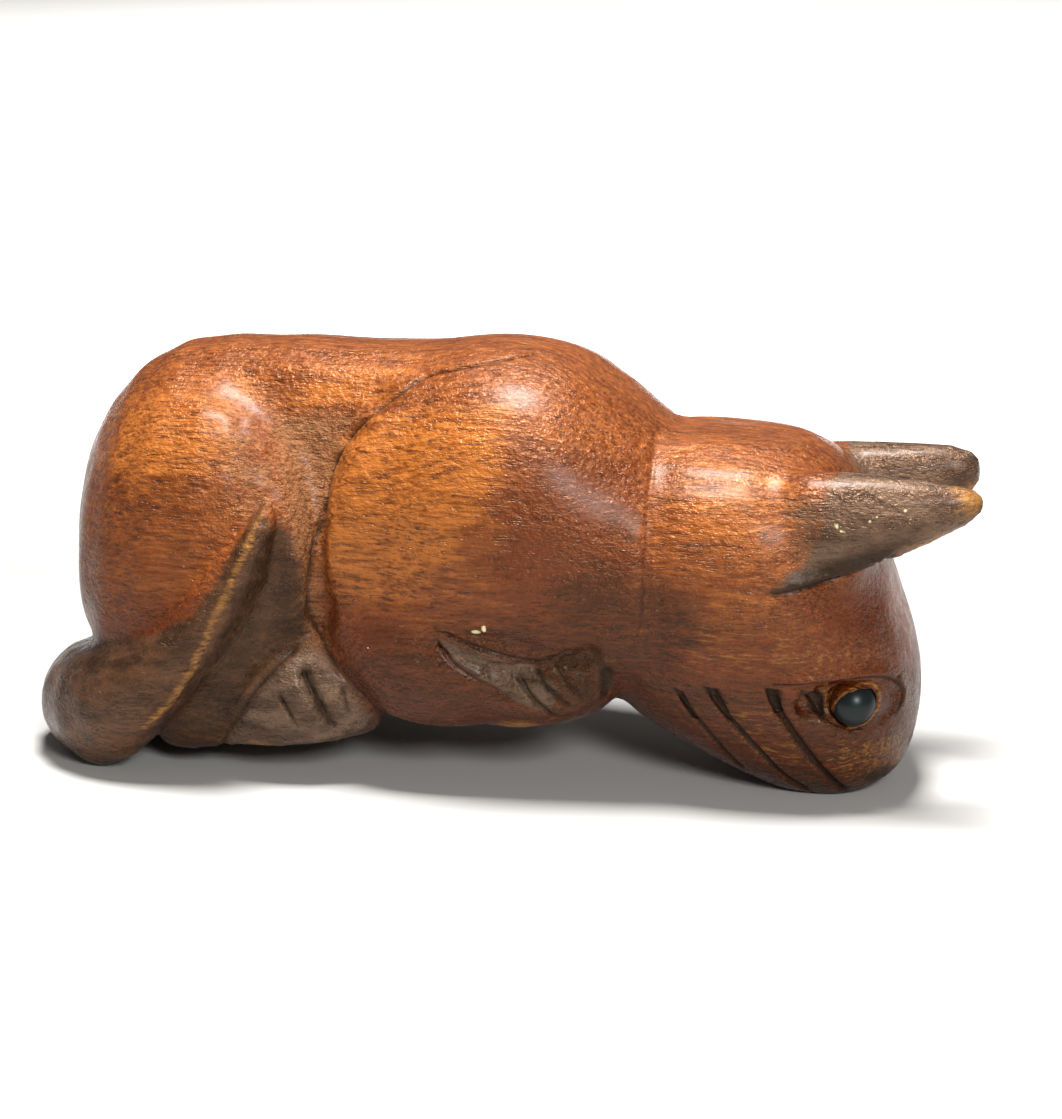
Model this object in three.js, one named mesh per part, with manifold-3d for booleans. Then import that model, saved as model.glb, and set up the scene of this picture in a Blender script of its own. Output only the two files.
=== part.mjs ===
// Crouching cat carved from one block of wood, head hanging low, with two inset glass eyes.
// Millimetres. X runs from the tail to the ears, Z is up, minus Y is the side the tail lies on.
// The shape is drawn in parts of a cat about 300 parts long and then brought to the sizes below.

import * as THREE from "three";
import { mergeVertices } from "three/addons/utils/BufferGeometryUtils.js";
import Module from "manifold-3d";

const wasm = await Module();
wasm.setup();

// Overall sizes of the finished carving
const LENGTH = 300.7;
const WIDTH = 111.1;
const HEIGHT = 136.1;

// The plane that the belly, the hind feet and the front paws are cut flat on
const BASE_TILT = 9;
const BASE_ZERO_X = -137;
// The floor under the chin and the tail, drawn on a slope and levelled at the end
const FLOOR_TILT = 1.45;
const FLOOR_AT = [-130, -1.7];

// Trunk: top and bottom height and half width at stations along X
const TRUNK = [
  { x: -125, top: 114, bottom: 14, half: 32 },
  { x: -104, top: 127, bottom: 12, half: 38 },
  { x: -75, top: 133, bottom: 15, half: 43 },
  { x: -50, top: 133.5, bottom: 19, half: 45 },
  { x: -30, top: 134.5, bottom: 20, half: 46.5 },
  { x: -5, top: 137, bottom: 22, half: 49 },
  { x: 22, top: 129.5, bottom: 24, half: 49 },
  { x: 38, top: 120.5, bottom: 27, half: 47.3 },
  { x: 60, top: 109, bottom: 31, half: 44.4 },
];
const TRUNK_FULLNESS = 2.25;

// Rounded masses laid on the trunk: centre, radii, how pillow-like they are, and the blend
const RUMP = { at: [-95.5, 0, 75], size: [45.5, 47, 56], pillow: 2, blend: 5 };
const HAUNCH = { at: [-95, 19, 63], size: [41, 33.5, 57], pillow: 2.4, blend: 5 };
const CHEST = { at: [2, 0, 79.5], size: [54, 51.5, 57.5], pillow: 2.4, blend: 3 };
const ELBOW = { at: [-16, 27, 46], size: [36, 22, 29], pillow: 2.4, blend: 4 };

// Channel cut between the haunch and the chest, as deep as this at each height
const CHANNEL = [
  { z: 0, deep: 11 },
  { z: 60, deep: 11 },
  { z: 100, deep: 10 },
  { z: 114, deep: 6 },
  { z: 124, deep: 2.5 },
  { z: 134, deep: 1 },
  { z: 150, deep: 0 },
];
const CHANNEL_CHEST = { at: [2, 79.5], size: [53, 58], wall: 3 };
const CHANNEL_ELBOW = { at: [-12, 50], size: [38, 31], wall: 3 };
const CHANNEL_HAUNCH = { at: [-96, 63], size: [42, 57], wall: 9 };
const NECK_CUT_X = 51;
const NECK_OVERLAP = 4;

// Hind feet and front paws
const HIND_FOOT = { at: [-65, 31, 26.5], size: [33, 17, 22.5] };
const HOCK = { at: [-92, 30, 23], size: [23, 17, 23] };
const FRONT_PAW = { at: [13, 28, 36.5], size: [30, 18, 15], turn: 9 };

// Head: a stack of level sections from the chin up to the nape
const HEAD = [
  { z: 2.4, back: 92, front: 110, half: 13 },
  { z: 5, back: 82, front: 117, half: 18.5 },
  { z: 10, back: 70, front: 123.5, half: 24 },
  { z: 17, back: 56.5, front: 127.6, half: 29.5 },
  { z: 26, back: 40, front: 129.6, half: 34.5 },
  { z: 38, back: 28, front: 130, half: 39.5 },
  { z: 52, back: 24, front: 127.3, half: 43.5 },
  { z: 66, back: 22, front: 122, half: 45.5 },
  { z: 80, back: 22, front: 117, half: 45.5 },
  { z: 90, back: 24, front: 114, half: 43.5 },
  { z: 100, back: 28, front: 108, half: 39 },
  { z: 108, back: 33, front: 101, half: 30.5 },
  { z: 113.2, back: 42, front: 91, half: 19 },
];
const HEAD_FULLNESS = 2.45;

// Ears: sections along X with the heights of the two edges, the left one cut blunter
const RIGHT_EAR = [
  { x: 84, high: 107, low: 78, y: 26, half: 9 },
  { x: 94, high: 109.5, low: 75.5, y: 27.5, half: 12 },
  { x: 104, high: 110, low: 76.5, y: 28, half: 11.5 },
  { x: 114, high: 110, low: 81, y: 28, half: 10 },
  { x: 124, high: 109.5, low: 86, y: 28.5, half: 8 },
  { x: 134, high: 109, low: 92, y: 28.5, half: 6 },
  { x: 142, high: 108.3, low: 97, y: 28.5, half: 4 },
  { x: 146.6, high: 106.7, low: 101.5, y: 28.5, half: 1.8 },
];
const LEFT_EAR = [
  { x: 84, high: 105, low: 78, y: 26, half: 9 },
  { x: 94, high: 106, low: 75.5, y: 27.5, half: 12 },
  { x: 104, high: 106.5, low: 76.5, y: 28, half: 11.5 },
  { x: 114, high: 107, low: 80, y: 28, half: 10 },
  { x: 124, high: 107.3, low: 84, y: 28, half: 8.2 },
  { x: 133, high: 107.3, low: 88.5, y: 28, half: 6.4 },
  { x: 139, high: 106, low: 92, y: 28, half: 4.6 },
  { x: 142, high: 103, low: 96, y: 28, half: 2.6 },
];
const EAR_HOLLOW = { at: [119, 25, 81.5], size: [19, 5.5, 7.5], turn: 29 };

// Tail: centre line with the half width across and the half height outward
const TAIL = [
  { at: [-98, 22, 24], across: 9, out: 9 },
  { at: [-117, 27, 14], across: 15, out: 13 },
  { at: [-128, 15, 12.5], across: 16.5, out: 15 },
  { at: [-133.5, 0, 12.5], across: 17.5, out: 16.5 },
  { at: [-134.5, -22, 14.5], across: 18.8, out: 16.5 },
  { at: [-125, -39, 17.5], across: 19.8, out: 14 },
  { at: [-112, -46.5, 26], across: 16.8, out: 11.5 },
  { at: [-101, -49.5, 35.5], across: 13.6, out: 9.5 },
  { at: [-90.5, -51, 46.5], across: 11, out: 8 },
  { at: [-80.5, -51.5, 59], across: 9.4, out: 7 },
  { at: [-72.5, -51, 73], across: 7, out: 5.5 },
  { at: [-67, -49.5, 86], across: 3.6, out: 3.6 },
  { at: [-65.2, -48.5, 92], across: 0.8, out: 1 },
];
const TAIL_RIDGE = 1.5;

// Eyes and the almond hollow round each
const EYE_RADIUS = 7.2;
const EYE_DEPTH = 3.6;
const EYE_GAP = 0.3;
const EYE_SEAT = { x: 113.5, z: 38.5 };
const LID = { x: 108.5, z: 40.5, size: [17, 3.4, 6.6], turn: 4 };

// Cut lines drawn on the side of the cat as x, z pairs with a half width at each end
const WHISKERS = [
  { path: [[88, 42], [93, 39], [96, 32], [103, 22], [109, 12]], wide: 1.7, narrow: 0.8 },
  { path: [[69, 41], [74, 33], [84, 23], [97, 13]], wide: 1.9, narrow: 0.8 },
  { path: [[58, 40], [65, 30], [78, 20]], wide: 1.6, narrow: 0.7 },
];
const HIND_TOES = [
  { path: [[-63, 30], [-57, 21]], wide: 1.6, narrow: 0.8 },
  { path: [[-54, 38], [-51, 31], [-45, 22]], wide: 2.2, narrow: 1 },
  { path: [[-42, 33], [-38, 25]], wide: 1.4, narrow: 0.7 },
];
const PAW_TOES = [
  { path: [[12, 43], [19, 36], [25, 28]], wide: 1.6, narrow: 1 },
  { path: [[17, 46], [24, 39], [31, 32]], wide: 1.6, narrow: 1 },
  { path: [[25, 47], [30, 42], [35, 37]], wide: 1.4, narrow: 0.9 },
];
const LEDGE = { path: [[-14, 52], [-3, 47], [11, 45], [25, 47], [37, 52]], wide: 2.6, narrow: 3.6 };

const TRUNK_SEGMENTS = 36;
const TRUNK_STEPS = [[-92, -64, 4], [-64, -24, 13], [-24, 22, 6]];
const CAP_RINGS = 6;
const HEAD_SEGMENTS = 30;
const REACH = 130;
const CUTTER = 400;

// Value of a smooth curve through the stations at a given place
function valueAt(stations, key, name, place) {
  const last = stations.length - 1;
  let index = 0;
  while (index < last - 1 && stations[index + 1][key] < place) {
    index += 1;
  }
  const before = stations[Math.max(index - 1, 0)];
  const from = stations[index];
  const to = stations[index + 1];
  const after = stations[Math.min(index + 2, last)];
  const span = to[key] - from[key];
  const share = Math.min(Math.max((place - from[key]) / span, 0), 1);
  const slopeFrom = ((to[name] - before[name]) / (to[key] - before[key])) * span;
  const slopeTo = ((after[name] - from[name]) / (after[key] - from[key])) * span;
  const square = share * share;
  const cube = square * share;
  return (
    (2 * cube - 3 * square + 1) * from[name] +
    (cube - 2 * square + share) * slopeFrom +
    (3 * square - 2 * cube) * to[name] +
    (cube - square) * slopeTo
  );
}

// Reach of a point from a rounded mass, negative inside; its side view is an ellipse
function massField(mass, side, x, y, z) {
  const [rx, ry, rz] = mass.size;
  const along = Math.hypot((x - mass.at[0]) / rx, (z - mass.at[2]) / rz);
  const across = Math.abs(y - side * mass.at[1]) / ry;
  const ring = (along ** mass.pillow + across ** mass.pillow) ** (1 / mass.pillow);
  return (ring - 1) * Math.min(rx, ry, rz);
}

function trunkField(x, y, z) {
  const place = Math.min(Math.max(x, TRUNK[0].x), TRUNK[TRUNK.length - 1].x);
  const top = valueAt(TRUNK, "x", "top", place);
  const bottom = valueAt(TRUNK, "x", "bottom", place);
  const half = valueAt(TRUNK, "x", "half", place);
  const tall = (top - bottom) / 2;
  const across = Math.abs(y) / half;
  const up = Math.abs(z - (top + bottom) / 2) / tall;
  const ring = (across ** TRUNK_FULLNESS + up ** TRUNK_FULLNESS) ** (1 / TRUNK_FULLNESS);
  const beyond = Math.max(TRUNK[0].x - x, x - TRUNK[TRUNK.length - 1].x);
  return Math.max((ring - 1) * Math.min(half, tall), beyond);
}

function blended(first, second, reach) {
  const share = Math.max(reach - Math.abs(first - second), 0) / reach;
  return Math.min(first, second) - (share * share * reach) / 4;
}

function smoothShare(value) {
  const share = Math.min(Math.max(value, 0), 1);
  return share * share * (3 - 2 * share);
}

// How far a side-view place lies outside an outline, as a share of the wall width
function outsideShare(outline, x, z) {
  const [rx, rz] = outline.size;
  const ring = Math.hypot((x - outline.at[0]) / rx, (z - outline.at[1]) / rz);
  return smoothShare(((ring - 1) * Math.min(rx, rz)) / outline.wall + 0.5);
}

function channelDepth(x, z) {
  const deep = valueAt(CHANNEL, "z", "deep", z);
  const inside = x < CHANNEL_CHEST.at[0] && x > CHANNEL_HAUNCH.at[0];
  const outlines = [CHANNEL_CHEST, CHANNEL_ELBOW, CHANNEL_HAUNCH];
  return inside ? outlines.reduce((depth, outline) => depth * outsideShare(outline, x, z), deep) : 0;
}

function bodyField(x, y, z) {
  let value = trunkField(x, y, z);
  for (const mass of [RUMP, CHEST]) {
    value = blended(value, massField(mass, 0, x, y, z), mass.blend);
  }
  for (const side of [-1, 1]) {
    for (const mass of [HAUNCH, ELBOW]) {
      value = blended(value, massField(mass, side, x, y, z), mass.blend);
    }
  }
  return value + channelDepth(x, z) * smoothShare(Math.abs(y) / 25 - 0.2);
}

// Farthest place along a ray where the body field changes sign
function castInward(origin, direction) {
  const step = 1.5;
  let far = REACH;
  const value = (reach) =>
    bodyField(
      origin.x + direction.x * reach,
      origin.y + direction.y * reach,
      origin.z + direction.z * reach,
    );
  while (far > step && value(far) > 0) {
    far -= step;
  }
  let inside = far;
  let outside = far + step;
  for (let round = 0; round < 12; round += 1) {
    const middle = (inside + outside) / 2;
    if (value(middle) > 0) {
      outside = middle;
    } else {
      inside = middle;
    }
  }
  return origin.clone().addScaledVector(direction, inside);
}

// Closed mesh from rings of points between two end points
function skinRings(first, rings, last) {
  const points = [first, ...rings.flat(), last];
  const count = rings[0].length;
  const faces = [];
  for (let step = 0; step < count; step += 1) {
    const next = (step + 1) % count;
    faces.push(0, 1 + next, 1 + step);
    for (let ring = 0; ring < rings.length - 1; ring += 1) {
      const low = 1 + ring * count;
      const high = low + count;
      faces.push(low + step, low + next, high + next);
      faces.push(low + step, high + next, high + step);
    }
    const end = 1 + (rings.length - 1) * count;
    faces.push(end + step, end + next, points.length - 1);
  }
  const geometry = new THREE.BufferGeometry();
  geometry.setAttribute("position", new THREE.Float32BufferAttribute(points.flatMap((p) => [p.x, p.y, p.z]), 3));
  geometry.setIndex(faces);
  return geometry;
}

function bodySkin() {
  const start = new THREE.Vector3(-92, 0, 72);
  const end = new THREE.Vector3(22, 0, 76);
  const ringAt = (origin, lean) => {
    const ring = [];
    for (let step = 0; step < TRUNK_SEGMENTS; step += 1) {
      const angle = (2 * Math.PI * step) / TRUNK_SEGMENTS;
      const outward = Math.cos(lean);
      const direction = new THREE.Vector3(Math.sin(lean), outward * Math.cos(angle), outward * Math.sin(angle));
      ring.push(castInward(origin, direction));
    }
    return ring;
  };
  const rings = [];
  for (let step = 1; step <= CAP_RINGS; step += 1) {
    rings.push(ringAt(start, -(Math.PI / 2) * (1 - step / CAP_RINGS)));
  }
  for (const [from, to, count] of TRUNK_STEPS) {
    for (let step = 1; step <= count; step += 1) {
      const share = (from + ((to - from) * step) / count - start.x) / (end.x - start.x);
      rings.push(ringAt(start.clone().lerp(end, share), 0));
    }
  }
  for (let step = 1; step < CAP_RINGS; step += 1) {
    rings.push(ringAt(end, (Math.PI / 2) * (step / CAP_RINGS)));
  }
  const first = castInward(start, new THREE.Vector3(-1, 0, 0));
  const last = castInward(end, new THREE.Vector3(1, 0, 0));
  return skinRings(first, rings, last);
}

// Point on a rounded rectangle section, full is 2 for an ellipse and more for a squarer one
function sectionPoint(angle, full) {
  const cosine = Math.cos(angle);
  const sine = Math.sin(angle);
  const size = (Math.abs(cosine) ** full + Math.abs(sine) ** full) ** (-1 / full);
  return [cosine * size, sine * size];
}

function headSkin() {
  const rings = [];
  for (let index = 0; index < HEAD.length - 1; index += 1) {
    const parts = index < 2 || index > HEAD.length - 4 ? 1 : 2;
    for (let part = 0; part < parts; part += 1) {
      const z = HEAD[index].z + ((HEAD[index + 1].z - HEAD[index].z) * part) / parts;
      rings.push(headRing(z));
    }
  }
  rings.push(headRing(HEAD[HEAD.length - 1].z));
  const low = new THREE.Vector3(100, 0, HEAD[0].z - 1.2);
  const high = new THREE.Vector3(68, 0, HEAD[HEAD.length - 1].z + 1.6);
  return skinRings(low, rings, high);
}

function headRing(z) {
  const back = valueAt(HEAD, "z", "back", z);
  const front = valueAt(HEAD, "z", "front", z);
  const half = valueAt(HEAD, "z", "half", z);
  const ring = [];
  for (let step = 0; step < HEAD_SEGMENTS; step += 1) {
    const [along, across] = sectionPoint((2 * Math.PI * step) / HEAD_SEGMENTS, HEAD_FULLNESS);
    const x = (back + front) / 2 + (along * (front - back)) / 2;
    ring.push(new THREE.Vector3(x, across * half, z));
  }
  return ring;
}

function earSkin(ear, side) {
  const segments = 14;
  const rings = ear.map((section) => {
    const ring = [];
    for (let step = 0; step < segments; step += 1) {
      const [across, up] = sectionPoint((2 * Math.PI * step) / segments, 2);
      const y = side * section.y + across * section.half;
      const z = (section.high + section.low) / 2 + (up * (section.high - section.low)) / 2;
      ring.push(new THREE.Vector3(section.x, y, z));
    }
    return ring;
  });
  const root = ear[0];
  const tip = ear[ear.length - 1];
  return skinRings(
    new THREE.Vector3(root.x - 4, side * root.y, (root.high + root.low) / 2),
    rings,
    new THREE.Vector3(tip.x + 0.8, side * tip.y, (tip.high + tip.low) / 2),
  );
}

// Tail section: oval with a raised ridge on its outward side
function tailSkin() {
  const curve = new THREE.CatmullRomCurve3(TAIL.map((knot) => new THREE.Vector3(...knot.at)));
  const hub = new THREE.Vector3(-92, 0, 46);
  const count = 22;
  const segments = 14;
  const rings = [];
  for (let index = 0; index <= count; index += 1) {
    const share = index / count;
    const centre = curve.getPoint(share);
    const along = curve.getTangent(share);
    const outward = centre.clone().sub(hub).multiply(new THREE.Vector3(1, 1, 0)).normalize();
    outward.addScaledVector(along, -outward.dot(along)).normalize();
    const sideways = new THREE.Vector3().crossVectors(outward, along);
    const knots = TAIL.map((knot, place) => ({ place: place / (TAIL.length - 1), ...knot }));
    const across = valueAt(knots, "place", "across", share);
    const out = valueAt(knots, "place", "out", share);
    const ring = [];
    for (let step = 0; step < segments; step += 1) {
      const angle = (2 * Math.PI * step) / segments;
      const full = Math.sin(angle) > 0 ? 2 - (2 - TAIL_RIDGE) * Math.min(share * 1.6, 1) : 2;
      const [wide, deep] = sectionPoint(angle, full);
      ring.push(
        centre.clone().addScaledVector(sideways, wide * across).addScaledVector(outward, deep * out),
      );
    }
    rings.push(ring);
  }
  return skinRings(curve.getPoint(0), rings, curve.getPoint(1));
}

function ellipsoidMesh(mass, side, detail) {
  const geometry = new THREE.SphereGeometry(1, detail, Math.round(detail * 0.6));
  geometry.scale(...mass.size);
  if (mass.turn !== undefined) {
    geometry.rotateY(THREE.MathUtils.degToRad(-mass.turn));
  }
  geometry.translate(mass.at[0], side * mass.at[1], mass.at[2]);
  return geometry;
}

function solidOf(source) {
  const bare = source.clone();
  bare.deleteAttribute("normal");
  bare.deleteAttribute("uv");
  const merged = mergeVertices(bare, 1e-4);
  const mesh = new wasm.Mesh({
    numProp: 3,
    vertProperties: new Float32Array(merged.attributes.position.array),
    triVerts: new Uint32Array(merged.index.array),
  });
  return new wasm.Manifold(mesh);
}

function meshGeometry(solid) {
  const mesh = solid.getMesh();
  const geometry = new THREE.BufferGeometry();
  geometry.setAttribute("position", new THREE.BufferAttribute(new Float32Array(mesh.vertProperties), 3));
  geometry.setIndex(new THREE.BufferAttribute(new Uint32Array(mesh.triVerts), 1));
  return geometry;
}

// Outermost point of the solid at a side-view place, with the outward normal there
function surfaceAt(target, x, z, side) {
  const ray = new THREE.Raycaster(new THREE.Vector3(x, side * 120, z), new THREE.Vector3(0, -side, 0));
  const hit = ray.intersectObject(target)[0];
  return { point: hit.point, normal: hit.face.normal };
}

// V-shaped groove that follows a side-view path on the surface
function grooveSolid(target, line, side) {
  const knots = line.path.map(([x, z]) => surfaceAt(target, x, z, side));
  const curve = new THREE.CatmullRomCurve3(knots.map((knot) => knot.point));
  const count = knots.length;
  const rings = [];
  for (let index = 0; index <= count; index += 1) {
    const share = index / count;
    const centre = curve.getPoint(share);
    const normal = surfaceAt(target, centre.x, centre.z, side).normal;
    const along = curve.getTangent(share);
    const sideways = new THREE.Vector3().crossVectors(normal, along).normalize();
    const half = line.wide + (line.narrow - line.wide) * share;
    const ring = [
      centre.clone().addScaledVector(normal, half * 2).addScaledVector(sideways, half * 2.2),
      centre.clone().addScaledVector(normal, half * 2).addScaledVector(sideways, -half * 2.2),
      centre.clone().addScaledVector(normal, -half * 1.5),
    ];
    rings.push(ring);
  }
  const start = rings[0][2].clone().lerp(rings[0][0], 0.3);
  const end = rings[count][2].clone().lerp(rings[count][0], 0.3);
  return solidOf(orientOutward(skinRings(start, rings, end)));
}

// Flip the faces where the closed mesh came out inside out
function orientOutward(geometry) {
  const at = geometry.attributes.position;
  const index = geometry.index.array;
  const corners = [new THREE.Vector3(), new THREE.Vector3(), new THREE.Vector3()];
  let volume = 0;
  for (let face = 0; face < index.length; face += 3) {
    corners.forEach((corner, place) => corner.fromBufferAttribute(at, index[face + place]));
    volume += corners[0].dot(corners[1].clone().cross(corners[2]));
  }
  if (volume < 0) {
    for (let face = 0; face < index.length; face += 3) {
      [index[face], index[face + 1]] = [index[face + 1], index[face]];
    }
  }
  return geometry;
}

function eyeCentre(target, side) {
  const seat = surfaceAt(target, EYE_SEAT.x, EYE_SEAT.z, side);
  return seat.point.clone().addScaledVector(seat.normal, -EYE_DEPTH);
}

function ball(centre, radius) {
  const geometry = new THREE.SphereGeometry(radius, 14, 9);
  geometry.translate(centre.x, centre.y, centre.z);
  return geometry;
}

function belowBase() {
  return cutterBelow(BASE_TILT, [BASE_ZERO_X, 0]).subtract(cutterAhead(NECK_CUT_X - NECK_OVERLAP));
}

// Block under a plane that rises towards the head at the given angle from the given place
function cutterBelow(tilt, [x, z]) {
  const geometry = new THREE.BoxGeometry(2 * CUTTER, CUTTER, CUTTER);
  geometry.translate(0, 0, -CUTTER / 2);
  geometry.rotateY(THREE.MathUtils.degToRad(-tilt));
  geometry.translate(x, 0, z);
  return solidOf(geometry);
}

function cutterAhead(x) {
  const geometry = new THREE.BoxGeometry(CUTTER, CUTTER, CUTTER);
  geometry.translate(x + CUTTER / 2, 0, 0);
  return solidOf(geometry);
}

function carvedBody() {
  const skin = (geometry) => solidOf(orientOutward(geometry));
  let body = skin(bodySkin());
  const bare = new THREE.Mesh(meshGeometry(body), new THREE.MeshBasicMaterial());
  for (const side of [-1, 1]) {
    body = body.subtract(grooveSolid(bare, LEDGE, side));
    body = body.add(solidOf(ellipsoidMesh(HIND_FOOT, side, 16)));
    body = body.add(solidOf(ellipsoidMesh(HOCK, side, 12)));
    body = body.add(solidOf(ellipsoidMesh(FRONT_PAW, side, 16)));
  }
  body = body.subtract(cutterAhead(NECK_CUT_X));
  body = body.subtract(belowBase());
  body = body.add(skin(tailSkin()));
  let head = skin(headSkin());
  head = head.add(skin(earSkin(RIGHT_EAR, -1)));
  head = head.add(skin(earSkin(LEFT_EAR, 1)));
  for (const side of [-1, 1]) {
    head = head.subtract(solidOf(ellipsoidMesh(EAR_HOLLOW, side, 12)));
  }
  return body.add(head).subtract(cutterBelow(FLOOR_TILT, FLOOR_AT));
}

function carveDetail(blank) {
  const target = new THREE.Mesh(meshGeometry(blank), new THREE.MeshBasicMaterial());
  let carved = blank;
  const centres = {};
  for (const side of [-1, 1]) {
    const lines = [...WHISKERS, ...HIND_TOES, ...PAW_TOES];
    for (const line of lines) {
      carved = carved.subtract(grooveSolid(target, line, side));
    }
    const lid = surfaceAt(target, LID.x, LID.z, side).point;
    const hollow = { at: [LID.x, Math.abs(lid.y), LID.z], size: LID.size, turn: LID.turn };
    carved = carved.subtract(solidOf(ellipsoidMesh(hollow, side, 14)));
    centres[side] = eyeCentre(target, side);
    carved = carved.subtract(solidOf(ball(centres[side], EYE_RADIUS + EYE_GAP)));
  }
  return { carved, centres };
}

function part(name, geometry, colour, roughness) {
  const material = new THREE.MeshStandardMaterial({ color: colour, roughness });
  const mesh = new THREE.Mesh(geometry, material);
  mesh.name = name;
  return mesh;
}

function levelled(geometry) {
  return geometry.rotateY(THREE.MathUtils.degToRad(FLOOR_TILT));
}

const { carved, centres } = carveDetail(carvedBody());
const level = levelled(meshGeometry(carved));
level.computeBoundingBox();
const { min, max } = level.boundingBox;

// Turn the floor level, put the middle of the underside at the origin and bring it to size
function placed(geometry) {
  levelled(geometry);
  geometry.translate(-(min.x + max.x) / 2, -(min.y + max.y) / 2, -min.z);
  return geometry.scale(LENGTH / (max.x - min.x), WIDTH / (max.y - min.y), HEIGHT / (max.z - min.z));
}

const cat = new THREE.Group();
cat.name = "wooden_cat";
cat.add(part("cat_carving", placed(meshGeometry(carved)), 0x8a4a22, 0.45));
cat.add(part("right_eye", placed(ball(centres[-1], EYE_RADIUS)), 0x1f3a3d, 0.1));
cat.add(part("left_eye", placed(ball(centres[1], EYE_RADIUS)), 0x1f3a3d, 0.1));

export default cat;
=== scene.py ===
"""Crouching cat carved from lacquered hardwood, with inset glass eyes, on a pale floor."""

import logging
import math
from dataclasses import dataclass
from enum import Enum
from typing import Any

import bmesh
import bpy
import numpy as np
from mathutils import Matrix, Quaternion, Vector, noise
from mathutils.bvhtree import BVHTree


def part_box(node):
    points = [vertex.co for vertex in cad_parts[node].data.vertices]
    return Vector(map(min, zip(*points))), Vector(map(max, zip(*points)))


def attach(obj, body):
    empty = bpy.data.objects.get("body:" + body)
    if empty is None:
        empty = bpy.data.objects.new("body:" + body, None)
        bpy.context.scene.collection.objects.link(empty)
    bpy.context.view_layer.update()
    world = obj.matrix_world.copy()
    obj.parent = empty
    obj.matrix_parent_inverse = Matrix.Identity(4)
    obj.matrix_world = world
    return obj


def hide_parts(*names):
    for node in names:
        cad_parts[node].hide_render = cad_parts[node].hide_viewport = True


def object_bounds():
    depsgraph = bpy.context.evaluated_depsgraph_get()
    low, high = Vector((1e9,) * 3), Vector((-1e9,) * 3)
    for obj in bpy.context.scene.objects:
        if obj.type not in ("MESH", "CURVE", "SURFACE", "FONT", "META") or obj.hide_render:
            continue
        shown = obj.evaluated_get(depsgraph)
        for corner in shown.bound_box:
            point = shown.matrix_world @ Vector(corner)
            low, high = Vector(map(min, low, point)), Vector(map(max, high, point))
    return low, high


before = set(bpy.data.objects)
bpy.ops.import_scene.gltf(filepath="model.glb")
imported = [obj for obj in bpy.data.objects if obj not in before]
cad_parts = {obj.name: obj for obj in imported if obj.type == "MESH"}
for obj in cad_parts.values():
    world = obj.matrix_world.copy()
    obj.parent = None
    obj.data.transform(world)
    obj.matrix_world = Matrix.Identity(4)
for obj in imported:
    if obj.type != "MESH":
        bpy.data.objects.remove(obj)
CAD_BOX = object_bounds()

LOG = logging.getLogger("wooden_cat")
MM = 0.001
NEAR = -1
FAR = 1
BOTH = (NEAR, FAR)
Place = tuple[float, float]
Point = tuple[float, float, float]

# Each bead's node and its side. Lengths are in millimetres and angles in degrees.
EYES = {"right_eye": NEAR, "left_eye": FAR}

# Oval opening between the lids: half its length and height, its shift down and its lean
LID_LONG = 6.9
LID_SHORT = 4.9
LID_SHIFT = 1.1
LID_TILT = 48.0
LID_THICKNESS = 0.35

# How far round a bead the lids work, how fast they fade, and how deep they reach
LID_REACH = 10.5
LID_FADE = 3.5
LID_DEPTH = 12.0

# How far the wood lies under the glass inside the opening
SOCKET_CLEARANCE = 0.8

# Half size of the finer mesh round a fleck of cream paint
SPECK_REACH = 3.0

# Strength of the painted shade that darkens the lower half, with its darkest part as shares of its top
# height
SHADE_STRENGTH = 1.3
DARKEST_TOP = 0.72
DARKEST_SPAN = 0.66

# Smoothing moves, and the swelling moves that undo their shrinking
SMOOTHING = 0.5
SWELL = -0.53
BROAD_SWELL = -0.506
BROAD_ROUNDS = 230
RELIEF_ROUNDS = 2

# How far past each mark the first and the second splitting of the mesh go
REFINED = (1.6, 0.9)


class Cut(Enum):
    """How the carver's tool leaves its mark along a line."""

    VEE = "v-shaped cut"
    LEDGE = "step that is higher above the line"
    RIDGE = "raised edge"


class View(Enum):
    """The side from which a line is drawn on the block."""

    SIDE = "x and z, seen along y"
    FRONT = "y and z, seen from the face"


class Tone(Enum):
    """What covers or colours a place on the wood, or paints shade or highlight on it."""

    ORANGE = "orange"
    RED = "red"
    UMBER = "umber"
    STAIN = "stain"
    ASH = "ash"
    OCHRE = "ochre"
    # Dirt in pores and cuts, and painted shade in creases, gaps and recesses
    GRIME_AND_SHADE = "grime_and_shade"
    CREAM = "cream"
    ROUGH = "rough"


@dataclass(frozen=True)
class Stroke:
    """One carved line.

    Attributes:
        path: Places along the line in millimetres, in carving order.
        depth: How deep the cut goes, or how far a ledge or ridge stands up, in millimetres.
        width: Half the width of the mark, in millimetres.
        cut: The shape of the mark.
        amount: How strongly the mark is coloured, from 0 to 1.
        tone: What the mark is coloured with.
        sides: The sides of the cat that carry it.
        taper: Share of the depth that is left at the end of the line.
        view: The side from which it is drawn.
    """

    path: tuple[Place, ...]
    depth: float
    width: float
    cut: Cut = Cut.VEE
    amount: float = 0.8
    tone: Tone = Tone.GRIME_AND_SHADE
    sides: tuple[int, ...] = BOTH
    taper: float = 0.3
    view: View = View.SIDE


@dataclass(frozen=True)
class Region:
    """An area on the cat's side with an outline, which is hollowed or coloured.

    Attributes:
        outline: Corners as x and z in millimetres.
        tone: What colours it.
        amount: How strongly it is coloured, from 0 to 1.
        soft: Half the width of the coloured edge in millimetres.
        depth: How deep it is hollowed in millimetres.
        edge: Width of the slope down to that depth in millimetres.
        from_y: Distance from the middle of the cat at which it starts.
        sides: The sides of the cat that carry it.
    """

    outline: tuple[Place, ...]
    tone: Tone
    amount: float = 1.0
    soft: float = 3.0
    depth: float = 0.0
    edge: float = 2.0
    from_y: float = 0.0
    sides: tuple[int, ...] = BOTH


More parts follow.
